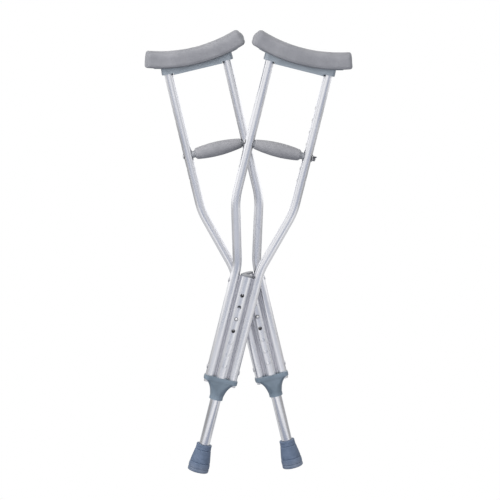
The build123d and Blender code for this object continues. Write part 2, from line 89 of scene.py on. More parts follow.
# Where in the noise each piece of foam takes its waves from.
PAD_SEED, GRIP_SEED, SEED_STEP = 3, 5, 10
# How far each kind of rivet's head stands out in the CAD.
FRAME_RIVET_HEAD, SIDE_RIVET_HEAD = 1.6 * MM, 1.2 * MM


class Crutch:
    """One crutch's local frame, read from its tip's mount in the record."""

    def __init__(self, name):
        self.name = name
        mount = mounts[f"{name}_tip_base"]
        self.up = -Vector(mount["axis"])
        depth = Vector((0, 1, 0))
        across = depth.cross(self.up)
        self.matrix = Matrix((across, depth, self.up)).transposed().to_4x4()
        self.matrix.translation = Vector(mount["pos_m"])
        self.to_local = self.matrix.inverted()
        self.lean = math.atan2(self.up.x, self.up.z)

    def node(self, piece):
        return f"{self.name}_{piece}"

    def body(self, part):
        return f"{self.name}_crutch_{part}"

    def box(self, piece):
        """(lowest corner, highest corner) of a CAD node at rest, in this crutch's frame."""
        points = [self.to_local @ v.co for v in nodes[self.node(piece)].data.vertices]
        low = Vector([min(p[i] for p in points) for i in range(3)])
        high = Vector([max(p[i] for p in points) for i in range(3)])
        return low, high

    def solid_boxes(self, piece):
        """The box of each separate solid in a CAD node, in this crutch's frame."""
        bm = bmesh.new()
        bm.from_mesh(nodes[self.node(piece)].data)
        bmesh.ops.remove_doubles(bm, verts=bm.verts, dist=1e-6)
        left = set(bm.verts)
        boxes = []
        while left:
            island, to_visit = set(), [left.pop()]
            while to_visit:
                vert = to_visit.pop()
                island.add(vert)
                near = {e.other_vert(vert) for e in vert.link_edges} & left
                left -= near
                to_visit += near
            points = [self.to_local @ v.co for v in island]
            low = Vector([min(p[i] for p in points) for i in range(3)])
            high = Vector([max(p[i] for p in points) for i in range(3)])
            boxes.append((low, high))
        bm.free()
        return boxes


crutches = [Crutch("front"), Crutch("back")]


# ---- shader helpers -------------------------------------------------------------------------------
class Shader:
    """A node material whose nodes are added by short calls."""

    def __init__(self, name):
        self.material = bpy.data.materials.new(name)
        self.material.use_nodes = True
        self.tree = self.material.node_tree
        self.surface = self.tree.nodes["Principled BSDF"]

    def add(self, kind, inputs=None, **settings):
        """Adds a node of a kind, with its settings and its inputs."""
        node = self.tree.nodes.new("ShaderNode" + kind)
        for name, value in settings.items():
            setattr(node, name, value)
        self.feed(node, inputs or {})
        return node

    def feed(self, node, inputs):
        """Sets a node's inputs: a socket is linked, and anything else is its constant value."""
        for name, value in inputs.items():
            if isinstance(value, bpy.types.NodeSocket):
                self.tree.links.new(value, node.inputs[name])
            else:
                node.inputs[name].default_value = value

    def place(self, lean=0.0, scale=(1.0, 1.0, 1.0)):
        """The piece's own coordinates, turned upright from a crutch's lean and then scaled."""
        own = self.add("TexCoord").outputs["Object"]
        upright = self.add("Mapping", {"Vector": own, "Rotation": (0.0, -lean, 0.0)})
        return self.add("Mapping", {"Vector": upright.outputs[0], "Scale": scale}).outputs[0]

    def noise(self, place, scale, detail=3.0, roughness=0.5):
        """Smooth noise, about 0 to 1."""
        inputs = {"Vector": place, "Scale": scale, "Detail": detail, "Roughness": roughness}
        return self.add("TexNoise", inputs).outputs["Fac"]

    def cells(self, place, scale):
        """Rounded cells: the distance from each cell's middle."""
        inputs = {"Vector": place, "Scale": scale}
        return self.add("TexVoronoi", inputs, feature="SMOOTH_F1").outputs["Distance"]

    def span(self, value, low, high, start=0.0, stop=1.0):
        """Maps value from start..stop to low..high, clamped."""
        inputs = {"Value": value, "From Min": start, "From Max": stop, "To Min": low, "To Max": high}
        return self.add("MapRange", inputs).outputs["Result"]

    def tint(self, share, first, second):
        """A constant colour, from first to second as share goes from 0 to 1."""
        mix = self.add("Mix", data_type="RGBA")
        self.tree.links.new(share, mix.inputs[0])
        mix.inputs[6].default_value = (*first, 1.0)
        mix.inputs[7].default_value = (*second, 1.0)
        return mix.outputs[2]

    def blend_colours(self, share, first, second):
        """The colour of the socket first, blended by share towards the constant colour second."""
        mix = self.add("Mix", data_type="RGBA")
        self.tree.links.new(share, mix.inputs[0])
        self.tree.links.new(first, mix.inputs[6])
        mix.inputs[7].default_value = (*second, 1.0)
        return mix.outputs[2]

    def bump(self, height, depth, normal=None):
        """A relief of this depth in metres, on top of another relief if one is given."""
        inputs = {"Height": height, "Distance": depth, "Strength": 1.0}
        if normal is not None:
            inputs["Normal"] = normal
        return self.add("Bump", inputs).outputs["Normal"]

    def finish(self, **inputs):
        """Feeds the surface's inputs, named with _ for each space, and gives the material."""
        self.feed(self.surface, {name.replace("_", " "): value for name, value in inputs.items()})
        return self.material


# ---- materials ------------------------------------------------------------------------------------
def aluminium(name, lean, roughness):
    """Satin anodised tube: draw lines along it, cloudy anodising and fine handling marks."""
    s = Shader(name)
    lines = s.noise(s.place(lean, (1500.0, 1500.0, 6.0)), 1.0, 2.0)
    clouds = s.noise(s.place(lean, (1.0, 1.0, 0.35)), 38.0, 4.0)
    marks = s.noise(s.place(lean, (90.0, 90.0, 420.0)), 1.0, 5.0, 0.7)
    colour = s.tint(s.span(clouds, 0.0, 1.0, 0.3, 0.7), (0.70, 0.705, 0.735), (0.76, 0.76, 0.785))
    colour = s.blend_colours(s.span(lines, 0.0, 0.22, 0.45, 0.75), colour, (0.55, 0.55, 0.585))
    rough = s.span(clouds, roughness - 0.05, roughness + 0.05, 0.3, 0.7)
    rough = s.add("Math", {0: rough, 1: s.span(marks, 0.0, 0.10, 0.62, 0.8)}, operation="ADD")
    ridges = s.bump(lines, 0.005 * MM)
    scratches = s.bump(s.span(marks, 0.0, 1.0, 0.62, 0.8), 0.005 * MM, ridges)
    return s.finish(Base_Color=colour, Metallic=1.0, Roughness=rough.outputs[0], Normal=scratches)


def foam_skin(name, dark, light, sheen):
    """Skinned foam: fine pebbled skin, faint cloudy fading and lighter rubbed high spots."""
    s = Shader(name)
    place = s.place()
    fade = s.noise(place, 22.0, 4.0, 0.6)
    mottle = s.noise(place, 700.0, 3.0)
    pores = s.cells(place, 1150.0)
    colour = s.tint(s.span(fade, 0.0, 1.0, 0.32, 0.68), dark, light)
    fleck = tuple(0.62 * c for c in dark)
    colour = s.blend_colours(s.span(mottle, 0.0, 0.35, 0.5, 0.72), colour, fleck)
    rubbed = s.add("NewGeometry").outputs["Pointiness"]
    worn = tuple(min(1.0, 1.35 * c) for c in light)
    colour = s.blend_colours(s.span(rubbed, 0.0, 0.4, 0.505, 0.56), colour, worn)
    skin = s.bump(pores, 0.16 * MM)
    skin = s.bump(mottle, 0.05 * MM, skin)
    skin = s.bump(fade, 0.5 * MM, skin)
    s.feed(s.surface, {"Sheen Weight": sheen, "Sheen Roughness": 0.5, "Specular IOR Level": 0.35})
    return s.finish(Base_Color=colour, Roughness=s.span(mottle, 0.62, 0.78), Normal=skin)


def tip_rubber():
    """Moulded rubber, paler and dustier towards the floor, with fine mould texture."""
    s = Shader("tip_rubber")
    place = s.place()
    height = s.add("SeparateXYZ", {"Vector": place}).outputs["Z"]
    cloud = s.noise(place, 60.0, 5.0, 0.65)
    grain = s.noise(place, 1300.0, 2.0)
    colour = s.tint(s.span(cloud, 0.0, 1.0, 0.35, 0.65), (0.062, 0.090, 0.142), (0.089, 0.12, 0.182))
    low = s.span(height, 1.0, 0.0, 0.002, 0.020)
    dust = s.add("Math", {0: low, 1: s.span(cloud, 0.1, 0.6, 0.35, 0.7)}, operation="MULTIPLY")
    colour = s.blend_colours(dust.outputs[0], colour, (0.22, 0.24, 0.28))
    skin = s.bump(grain, 0.06 * MM)
    skin = s.bump(cloud, 0.25 * MM, skin)
    s.feed(s.surface, {"Specular IOR Level": 0.45})
    return s.finish(Base_Color=colour, Roughness=s.span(cloud, 0.46, 0.66, 0.3, 0.7), Normal=skin)


def moulded_plastic(name, dark, light, roughness):
    """Nylon moulding: faint flow clouds, spark-eroded grain and paler rubbed edges."""
    s = Shader(name)
    place = s.place()
    flow = s.noise(place, 35.0, 3.0)
    grain = s.noise(place, 1600.0, 2.0)
    colour = s.tint(s.span(flow, 0.0, 1.0, 0.35, 0.65), dark, light)
    rubbed = s.add("NewGeometry").outputs["Pointiness"]
    worn = tuple(min(1.0, 1.5 * c) for c in light)
    colour = s.blend_colours(s.span(rubbed, 0.0, 0.5, 0.51, 0.60), colour, worn)
    skin = s.bump(grain, 0.035 * MM)
    rough = s.span(flow, roughness - 0.05, roughness + 0.08, 0.3, 0.7)
    return s.finish(Base_Color=colour, Roughness=rough, Normal=skin)


def plated_steel(name, colour_a, colour_b, roughness):
    """Zinc-plated or rolled steel with uneven brightness and fine scratches."""
    s = Shader(name)
    place = s.place()
    cloud = s.noise(place, 240.0, 4.0)
    scratch = s.noise(s.place(0.0, (300.0, 2400.0, 2400.0)), 1.0, 3.0, 0.6)
    colour = s.tint(s.span(cloud, 0.0, 1.0, 0.3, 0.7), colour_a, colour_b)
    rough = s.span(cloud, roughness - 0.06, roughness + 0.1, 0.3, 0.7)
    skin = s.bump(scratch, 0.008 * MM)
    return s.finish(Base_Color=colour, Metallic=1.0, Roughness=rough, Normal=skin)


pad_foam = foam_skin("pad_foam", (0.155, 0.158, 0.173), (0.212, 0.214, 0.229), 0.12)
grip_foam = foam_skin("grip_foam", (0.175, 0.176, 0.19), (0.235, 0.236, 0.25), 0.10)
rubber = tip_rubber()
slate_plastic = moulded_plastic("slate_plastic", (0.094, 0.126, 0.158), (0.128, 0.165, 0.205), 0.42)
saddle_plastic = moulded_plastic("saddle_plastic", (0.118, 0.137, 0.16), (0.153, 0.176, 0.20), 0.42)
# The long strips of the tube spacers fill the narrow gaps between the tubes, where the real crutch has
# only shade: this grey is painted shade.
grey_plastic = moulded_plastic("grey_plastic", (0.24, 0.24, 0.265), (0.30, 0.30, 0.33), 0.42)
cap_plastic = moulded_plastic("cap_plastic", (0.14, 0.145, 0.16), (0.19, 0.195, 0.21), 0.42)
dark_plastic = moulded_plastic("dark_plastic", (0.05, 0.055, 0.065), (0.075, 0.08, 0.09), 0.45)
steel = plated_steel("steel", (0.52, 0.52, 0.53), (0.68, 0.68, 0.68), 0.28)
bright_steel = plated_steel("bright_steel", (0.80, 0.80, 0.81), (0.92, 0.92, 0.92), 0.2)
spring_steel = plated_steel("spring_steel", (0.38, 0.38, 0.40), (0.50, 0.50, 0.51), 0.34)
rivet_aluminium = plated_steel("rivet_aluminium", (0.46, 0.46, 0.49), (0.58, 0.58, 0.60), 0.36)
dark_zinc = plated_steel("dark_zinc", (0.16, 0.16, 0.175), (0.26, 0.26, 0.28), 0.36)
# Near-black steel for the clamp's rivet heads: the rivets are real, but their darkness is painted shade
# for the shaded corners under the clamp's rim.
steel_with_painted_shade = plated_steel("steel_with_painted_shade", (0.07, 0.085, 0.10), (0.11, 0.13, 0.15), 0.42)


# ---- mesh helpers ---------------------------------------------------------------------------------
def rounded(corners, closed=False, segments=5):
    """A path through (x, y, radius) corners, with each corner rounded by its own radius."""
    path = []
    for index, (x, y, radius) in enumerate(corners):
        here = Vector((x, y))
        at_end = not closed and index in (0, len(corners) - 1)
        if radius == 0 or at_end:
            path.append(here)
            continue
        to_before = (Vector(corners[index - 1][:2]) - here).normalized()
        to_after = (Vector(corners[(index + 1) % len(corners)][:2]) - here).normalized()
        half_angle = to_before.angle(to_after) / 2
        run = radius / math.tan(half_angle)
        start, stop = here + to_before * run, here + to_after * run
        for step in range(segments + 1):
            t = step / segments
            weights = ((1 - t) ** 2, 2 * t * (1 - t) * math.sin(half_angle), t * t)
            point = start * weights[0] + here * weights[1] + stop * weights[2]
            path.append(point / sum(weights))
    return path


class MeshMaker:
    """Collects the vertices and faces of one piece, in a crutch's local frame."""

    def __init__(self):
        self.vertices = []
        self.faces = []

    def rings(self, rings, loop=False):
        """Skins a row of equal rings; loop joins the last to the first, or else both ends are capped."""
        base, count = len(self.vertices), len(rings[0])
        for ring in rings:
            self.vertices += [Vector(p) for p in ring]
        pairs = len(rings) if loop else len(rings) - 1
        for row in range(pairs):
            here, after = base + row * count, base + (row + 1) % len(rings) * count
            for k in range(count):
                n = (k + 1) % count
                self.faces.append((here + k, here + n, after + n, after + k))
        if not loop:
            self.faces.append(tuple(base + k for k in reversed(range(count))))
            last = base + (len(rings) - 1) * count
            self.faces.append(tuple(last + k for k in range(count)))

    def turned(self, profile, place, steps=64, loop=False, shape=None):
        """Turns (radius, along) points about Z, moved by the matrix place. shape alters the radius."""
        rings = []
        for radius, along in profile:
            ring = []
            for k in range(steps):
                angle = FULL_TURN * k / steps
                r = shape(angle, along, radius) if shape else radius
                ring.append(place @ Vector((r * math.cos(angle), r * math.sin(angle), along)))
            rings.append(ring)
        self.rings(rings, loop)

    def rise_and_fall(self, amount, wavelength, seed):
        """Moves each vertex a little along its normal, by smooth noise."""
        bm = self.bmesh()
        bm.verts.ensure_lookup_table()
        for index, vert in enumerate(bm.verts):
            shift = noise.noise(vert.co / wavelength + Vector((seed, 0, 0)))
            self.vertices[index] = vert.co + vert.normal * amount * shift
        bm.free()

    def bmesh(self):
        mesh = bpy.data.meshes.new("scratch")
        mesh.from_pydata(self.vertices, [], self.faces)
        bm = bmesh.new()
        bm.from_mesh(mesh)
        bmesh.ops.recalc_face_normals(bm, faces=bm.faces)
        bm.normal_update()
        bpy.data.meshes.remove(mesh)
        return bm

    def piece(self, crutch, part, name, material, slot, replaced, sharp_deg=35.0):
        """Makes the object, puts it on its body and lets it stand for its CAD nodes."""
        mesh = bpy.data.meshes.new(name)
        bm = self.bmesh()
        bm.to_mesh(mesh)
        bm.free()
        mesh.polygons.foreach_set("use_smooth", [True] * len(mesh.polygons))
        mesh.set_sharp_from_angle(angle=math.radians(sharp_deg))
        mesh.materials.append(material)
        piece = bpy.data.objects.new(f"{crutch.name}_{name}", mesh)
        bpy.context.scene.collection.objects.link(piece)
        piece.matrix_world = crutch.matrix
        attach(piece, crutch.body(part))
        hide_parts(*[crutch.node(node) for node in replaced])
        return piece


def along_x(x, y, z):
    """The place of something turned about a line in the direction of X."""
    return Matrix.Translation((x, y, z)) @ Matrix.Rotation(math.pi / 2, 4, "Y")


def along_y(x, y, z, side=1):
    """The place of something turned about a line in the direction of Y, or -Y when side is -1."""
    return Matrix.Translation((x, y, z)) @ Matrix.Rotation(-side * math.pi / 2, 4, "X")


def middle(box):
    return (box[0] + box[1]) / 2


# ---- the underarm pad -----------------------------------------------------------------------------
def drawn_in(distance, radius):
    """How far a rounded end's surface has drawn in at this distance from the end."""
    if distance >= radius:
        return 0.0
    return radius - math.sqrt(max(radius**2 - (radius - distance) ** 2, 0.0))


def pad_section(half_width, half_thick, points=150):
    """The pad's section: a crowned top, a flatter underside and a moulding seam low on each side."""
    seam_height = PAD_SEAM_PLACE * half_thick
    section = []
    for k in range(points):
        angle = FULL_TURN * k / points
        c, s = math.cos(angle), math.sin(angle)
        power = 2 / (PAD_TOP_SQUARENESS if s > 0 else PAD_UNDERSIDE_SQUARENESS)
        across = half_width * math.copysign(abs(c) ** power, c)
        height = half_thick * math.copysign(abs(s) ** power, s)
        seam = math.exp(-(((height - seam_height) / PAD_SEAM_WIDTH) ** 2))
        across -= math.copysign(PAD_SEAM_DEPTH * seam, across)
        section.append((across, height))
    return section


def make_pad(crutch, seed):
    """The foam rest: one section swept round the CAD pad's bend, drawn in and domed at both ends."""
    low, high = crutch.box("underarm_pad")
    centre_z = low.z + PAD_BEND_R
    middle_r = PAD_BEND_R - PAD_THICK / 2
    cad = [crutch.to_local @ v.co for v in nodes[crutch.node("underarm_pad")].data.vertices]
    angles = [math.atan2(p.x, centre_z - p.z) for p in cad]
    ends = [
        (PAD_ROUND_END, PAD_ROUND_BULGE, PAD_ROUND_PUSH),
        (PAD_SQUARE_END, PAD_SQUARE_BULGE, PAD_SQUARE_PUSH),
    ]
    # The round end is the one nearer the other crutch.
    first_end = crutch.matrix @ Vector((low.x, 0, high.z))
    last_end = crutch.matrix @ Vector((high.x, 0, high.z))
    if abs(first_end.x) > abs(last_end.x):
        ends.reverse()
    (start_round, start_bulge, start_push), (stop_round, stop_bulge, stop_push) = ends
    start = min(angles) + (start_bulge - start_push) / middle_r
    stop = max(angles) - (stop_bulge - stop_push) / middle_r

    length = (stop - start) * middle_r
    end_rings, body_rings = 12, 70
    run_in = [1 - math.cos(math.pi / 2 * k / end_rings) for k in range(end_rings)]
    straight = length - start_round - stop_round
    distances = [start_round * share for share in run_in]
    distances += [start_round + straight * k / body_rings for k in range(body_rings + 1)]
    distances += [length - stop_round * share for share in reversed(run_in)]

    def ring(distance, share=1.0, push=0.0):
        """The section at a distance along the pad, shrunk to a share and pushed along for a dome."""
        angle = start + (distance + push) / middle_r
        across = Vector((0, 1, 0))
        up = Vector((-math.sin(angle), 0, math.cos(angle)))
        centre = Vector((0, 0, centre_z)) - up * middle_r
        back = length - distance
        half_thick = PAD_THICK / 2 - drawn_in(distance, start_round) - drawn_in(back, stop_round)
        half_width = (high.y - low.y) / 2 - drawn_in(distance, PAD_PLAN_R) - drawn_in(back, PAD_PLAN_R)
        section = pad_section(half_width, half_thick)
        return [centre + across * a * share + up * h * share for a, h in section]

    # Each end face swells in four steps: the share of the section, and of the bulge.
    domes = [(0.75, 0.45), (0.5, 0.75), (0.25, 0.95), (0.06, 1.0)]
    rings = [ring(0.0, share, -push * start_bulge) for share, push in reversed(domes)]
    rings += [ring(d) for d in distances]
    rings += [ring(length, share, push * stop_bulge) for share, push in domes]
    maker = MeshMaker()
    maker.rings(rings)
    maker.rise_and_fall(PAD_WAVE, PAD_WAVE_LENGTH, seed)
    maker.rise_and_fall(PAD_DIMPLE, PAD_DIMPLE_LENGTH, seed + 5)
    pad = maker.piece(crutch, "frame", "pad", pad_foam, "pad_foam", ["underarm_pad"], 60.0)


# ---- the hand grip --------------------------------------------------------------------------------
def make_grip(crutch, seed):
    """The foam sleeve: a barrel turned about the grip's core, slimmer at the end by the other crutch."""
    box = crutch.box("grip_foam")
    core = crutch.box("grip_core")
    clearance = 0.1 * MM
    bore = (core[1].y - core[0].y) / 2 + clearance
    start, stop = box[0].x, box[1].x
    # The longer end, which points at the other crutch, is the slimmer one.
    ends = [(GRIP_SLIM_R, GRIP_SLIM_ROUND), (GRIP_BLUNT_R, GRIP_BLUNT_ROUND)]
    if abs(start) < abs(stop):
        ends.reverse()
    (start_r, start_round), (stop_r, stop_round) = ends

    def crown(x):
        """A parabola through the grip's radius at its two ends and at its middle."""
        by_start = start_r * x * (x - stop) / (start * (start - stop))
        by_middle = GRIP_MIDDLE_R * (x - start) * (x - stop) / (start * stop)
        by_stop = stop_r * x * (x - start) / (stop * (stop - start))
        return by_start + by_middle + by_stop

    first_x, last_x = start + 1.2 * start_round, stop - 1.2 * stop_round
    steps = 40
    barrel = []
    for k in range(steps + 1):
        x = first_x + (last_x - first_x) * k / steps
        barrel.append((crown(x), x, 0))
    first = [(bore, start, 0), (crown(start), start, start_round)]
    last = [(crown(stop), stop, stop_round), (bore, stop, 0)]
    maker = MeshMaker()
    outline = rounded(first + barrel + last, segments=8)
    maker.turned(outline, along_x(0, 0, middle(box).z), 96, loop=True)
    maker.rise_and_fall(GRIP_WAVE, GRIP_WAVE_LENGTH, seed)
    grip = maker.piece(crutch, "grip", "grip_sleeve", grip_foam, "grip_foam", ["grip_foam"], 60.0)


# ---- the bolt, washer and wing nut ----------------------------------------------------------------
def make_bolt(crutch):
    """A button-headed 1/4 inch bolt with a hexagon recess, threaded at its far end."""
    box = crutch.box("grip_bolt")
    z = middle(box).z
    shank = 3.175 * MM
    recess_r = 2.0 * MM
    head_r = (box[1].y - box[0].y) / 2
    head_x, end_x = box[0].x, box[1].x
    under_head = head_x + 2.0 * MM
    recess_floor = head_x + 1.3 * MM
    thread_start = end_x - THREAD_LENGTH

    def hex_or_thread(angle, along, radius):
        """Makes the recess six-sided and cuts the thread into the shank's end."""
        if along < under_head and radius < recess_r + 0.3 * MM:
            side = (angle % (FULL_TURN / 6)) - FULL_TURN / 12
            return radius * math.cos(FULL_TURN / 12) / math.cos(side)
        if along > thread_start and radius > 2.9 * MM:
            turn = (along / THREAD_PITCH - angle / FULL_TURN) % 1.0
            return radius - THREAD_DEPTH * abs(2 * turn - 1)
        return radius

    head = rounded(
        [
            (0.05 * MM, recess_floor, 0),
            (recess_r, recess_floor, 0),
            (recess_r, head_x, 0.2 * MM),
            (0.6 * head_r, head_x + 0.2 * MM, 1.5 * MM),
            (head_r, under_head - 0.7 * MM, 0.4 * MM),
            (head_r, under_head, 0.2 * MM),
            (shank, under_head, 0),
        ]
    )
    rows = 120
    run = end_x - 0.7 * MM - thread_start
    thread = [(shank, thread_start + run * k / rows) for k in range(rows)]
    tip = [(2.4 * MM, end_x - 0.1 * MM), (2.0 * MM, end_x), (0.05 * MM, end_x)]
    maker = MeshMaker()
    maker.turned(list(head) + thread + tip, along_x(0, 0, z), 60, shape=hex_or_thread)
    maker.piece(crutch, "bolt", "grip_bolt_threaded", steel, "steel", ["grip_bolt"], 30.0)


def make_washer(crutch):
    """A flat washer with softened edges."""
    box = crutch.box("grip_washer")
    outer = (box[1].y - box[0].y) / 2
    bore = 3.3 * MM
    corners = [
        (bore, box[0].x, 0.1 * MM),
        (outer, box[0].x, 0.3 * MM),
        (outer, box[1].x, 0.3 * MM),
        (bore, box[1].x, 0.1 * MM),
    ]
    maker = MeshMaker()
    maker.turned(rounded(corners, closed=True, segments=3), along_x(0, 0, middle(box).z), 64, loop=True)
    maker.piece(crutch, "washer", "flat_washer", steel, "steel", ["grip_washer"])


def make_wing_nut(crutch):
    """A cast wing nut: a tapered hub with two rounded wings, turned as the CAD's wings are."""
    box = crutch.box("wing_nut")
    x, z = box[0].x, middle(box).z
    bore, foot, nose, height = 3.3 * MM, 5.6 * MM, 4.6 * MM, 5.0 * MM
    hub = [
        (bore, x, 0.25 * MM),
        (foot, x, 0.5 * MM),
        (foot, x + 1.2 * MM, 0.5 * MM),
        (nose, x + height, 0.7 * MM),
        (bore, x + height, 0.4 * MM),
    ]
    maker = MeshMaker()
    maker.turned(rounded(hub, closed=True, segments=4), along_x(0, 0, z), 64, loop=True)
    # Each wing is a blade lofted outwards from the hub, leaning away from the washer.
    points = [crutch.to_local @ v.co for v in nodes[crutch.node("wing_nut")].data.vertices]
    axis = Vector((0, 0, z))
    farthest = max(points, key=lambda p: Vector((0, p.y, p.z - z)).length)
    reach = Vector((0, farthest.y, farthest.z - z))
    outward = reach.normalized()
    steps, points_round = 18, 24
    rounding_starts, narrowest = 0.72, 0.12
    for side in (1, -1):
        out = outward * side
        thick_dir = out.cross(Vector((1, 0, 0)))
        rings = []
        for k in range(steps + 1):
            t = k / steps
            into_rim = max((t - rounding_starts) / (1 - rounding_starts), 0.0)
            rim = max(math.sqrt(max(1 - into_rim**2, 0.0)), narrowest)
            chord = (2.2 + 0.9 * math.sin(math.pi * t)) * MM * rim
            thick = (1.25 - 0.4 * t) * MM * rim
            centre = axis + out * (3.6 * MM + (reach.length - 3.7 * MM) * t)
            centre += Vector((x + (2.6 + 2.9 * t**1.4) * MM, 0, 0))
            ring = []
            for n in range(points_round):
                angle = FULL_TURN * n / points_round
                ring.append(
                    centre
                    + Vector((1, 0, 0)) * chord * math.cos(angle)
                    + thick_dir * thick * math.sin(angle)
                )
            rings.append(ring)
        maker.rings(rings)
    maker.piece(crutch, "nut", "wing_nut_cast", dark_zinc, "steel", ["wing_nut"], 50.0)


# ---- rivets and snap buttons ----------------------------------------------------------------------
def rivet_head(maker, place, radius, height, skirt):
    """A domed blind rivet head, with the broken end of its mandrel down its centre."""
    dome = [
        (0.05 * MM, height - 0.9 * MM, 0),
        (0.26 * radius, height - 0.75 * MM, 0.2 * MM),
        (0.30 * radius, height - 0.15 * MM, 0.2 * MM),
        (0.62 * radius, 0.86 * height, 1.2 * MM),
        (radius, 0.30 * height, 0.35 * MM),
        (radius, -skirt, 0),
        (0.05 * MM, -skirt, 0),
    ]
    maker.turned(rounded(dome, segments=4), place, 48)


def make_rivets(crutch, node, name, cad_head, head, skirt, material):
    """The heads of rivets that face outwards along X; cad_head is the CAD heads' own height."""
    maker = MeshMaker()
    for box in crutch.solid_boxes(node):
        centre = middle(box)
        side = math.copysign(1, centre.x)
        face = max(abs(box[0].x), abs(box[1].x)) - cad_head
        place = along_x(side * face, 0, centre.z)
        if side < 0:
            place = place @ Matrix.Rotation(math.pi, 4, "X")
        rivet_head(maker, place, (box[1].y - box[0].y) / 2, head, skirt)
    maker.piece(crutch, "frame", name, material, "rivet_aluminium", [node])


def make_button(crutch, piece, side):
    """A domed snap button, standing out along -Y at the front and +Y at the rear."""
    box = crutch.box(piece)
    radius = (box[1].x - box[0].x) / 2
    length = box[1].y - box[0].y
    outer = box[0].y if side < 0 else box[1].y
    inner = outer - side * length
    # The barrel necks in just inside the tube, which leaves a dark crevice round the dome.
    neck, dome_height = radius - 0.9 * MM, 2.4 * MM
    dome = [(0.05 * MM, 0.0), (radius, 0.0), (radius, length - 5.0 * MM), (neck, length - 4.2 * MM)]
    for k in range(9):
        angle = math.pi / 2 * k / 9
        dome.append((neck * math.cos(angle), length - dome_height * (1 - math.sin(angle))))
    dome.append((0.05 * MM, length))
    maker = MeshMaker()
    place = along_y(middle(box).x, inner, middle(box).z, side)
    maker.turned(dome, place, 48)
    maker.piece(crutch, piece, f"{piece}_dome", bright_steel, "steel", [piece], 50.0)


# ---- the rubber tip -------------------------------------------------------------------------------
def make_tip(crutch):
    """The flared foot: a grooved outside, ring treads underneath and a collar round the leg."""
    box = crutch.box("rubber_tip")
    height = box[1].z
    base_r = (box[1].y - box[0].y) / 2
    neck_r = 15.2 * MM
    collar_r = neck_r + 0.9 * MM
    bore, socket_floor = 11.12 * MM, 12.0 * MM
    wall_start, skirt, lip = 4.0 * MM, 14.0 * MM, height - 5.5 * MM
    grooves = (7.5 * MM, 20.0 * MM, 47.0 * MM)
    groove_depth, groove_width = 1.1 * MM, 0.85 * MM
    treads = (9.0 * MM, 13.0 * MM, 17.0 * MM)

    outline = [(0.05 * MM, 0.0, 0)]
    for radius in treads:
        for offset, depth in ((-1.0, 0.0), (-0.8, 1.4), (0.8, 1.4), (1.0, 0.0)):
            outline.append((radius + offset * MM, depth * MM, 0.15 * MM))
    outline.append((base_r, 0.0, 2.0 * MM))
    outline.append((base_r, wall_start, 0))
    path = list(rounded(outline, segments=4))

    rows = 110
    for k in range(1, rows + 1):
        z = wall_start + (lip - wall_start) * k / rows
        share = min(max((z - skirt) / (height - skirt), 0.0), 1.0)
        eased = (1 + math.cos(math.pi * share)) / 2
        radius = neck_r + (base_r - neck_r) * (0.75 * (1 - share) + 0.25 * eased)
        for groove in grooves:
            radius -= groove_depth * math.exp(-(((z - groove) / groove_width) ** 2))
        path.append(Vector((radius, z)))
    collar = [
        (path[-1].x, lip, 0),
        (collar_r, lip + 0.5 * MM, 0.4 * MM),
        (collar_r, height, 0.7 * MM),
        (bore, height, 0.5 * MM),
        (bore, socket_floor, 0),
        (0.05 * MM, socket_floor, 0),
    ]
    path += list(rounded(collar, segments=5))[1:]
    maker = MeshMaker()
    maker.turned(path, Matrix.Identity(4), 112)
    maker.piece(crutch, "leg", "ribbed_tip", rubber, "tip_rubber", ["rubber_tip"], 40.0)


# ---- CAD nodes that keep their own shape ----------------------------------------------------------
CAD_FINISHES = {
    "underarm_saddle": saddle_plastic,
    "lower_clamp": slate_plastic,
    "grip_end_caps": cap_plastic,
    "tube_plug": cap_plastic,
    # The tube spacers are strips in the gaps between the tubes, coloured as painted shade for the
    # shadowed gaps.
    "tube_spacers": grey_plastic,
    "leg_glide": dark_plastic,
    "grip_core": dark_plastic,
    "tip_washer": steel,
    "snap_spring": spring_steel,
}


# Each set of rivets: its node, its piece, the CAD heads' height, the visible heads' height, how far
# their edge goes down past the face, and their finish.
RIVETS = (
    ("frame_rivets", "blind_rivets", FRAME_RIVET_HEAD, 1.6 * MM, 1.2 * MM, rivet_aluminium),
    # The clamp's rivet heads are real, and their near-black finish is painted shade for the corners
    # under the clamp's rim.
    ("clamp_rivets", "clamp_rivet_heads", SIDE_RIVET_HEAD, 0.5 * MM, 0.2 * MM, steel_with_painted_shade),
    ("saddle_rivets", "saddle_rivet_heads", SIDE_RIVET_HEAD, 0.8 * MM, 0.4 * MM, rivet_aluminium),
)


def dress(node, material):
    """Gives a CAD node its finish."""
    slots = nodes[node].data.materials
    slots.clear()
    slots.append(material)


for number, crutch in enumerate(crutches):
    satin_tube = aluminium("anodised_aluminium", crutch.lean, 0.27)
    bright_tube = aluminium("bright_aluminium", crutch.lean, 0.18)
    for piece in ("outer_tube", "left_upright", "right_upright"):
        dress(crutch.node(piece), satin_tube)
    dress(crutch.node("leg_tube"), bright_tube)
    for piece, material in CAD_FINISHES.items():
        dress(crutch.node(piece), material)
    make_pad(crutch, PAD_SEED + SEED_STEP * number)
    make_grip(crutch, GRIP_SEED + SEED_STEP * number)
    make_bolt(crutch)
    make_washer(crutch)
    make_wing_nut(crutch)
    for node, name, cad_head, head, skirt, material in RIVETS:
        make_rivets(crutch, node, name, cad_head, head, skirt, material)
    make_button(crutch, "front_button", -1)
    make_button(crutch, "rear_button", 1)
    make_tip(crutch)


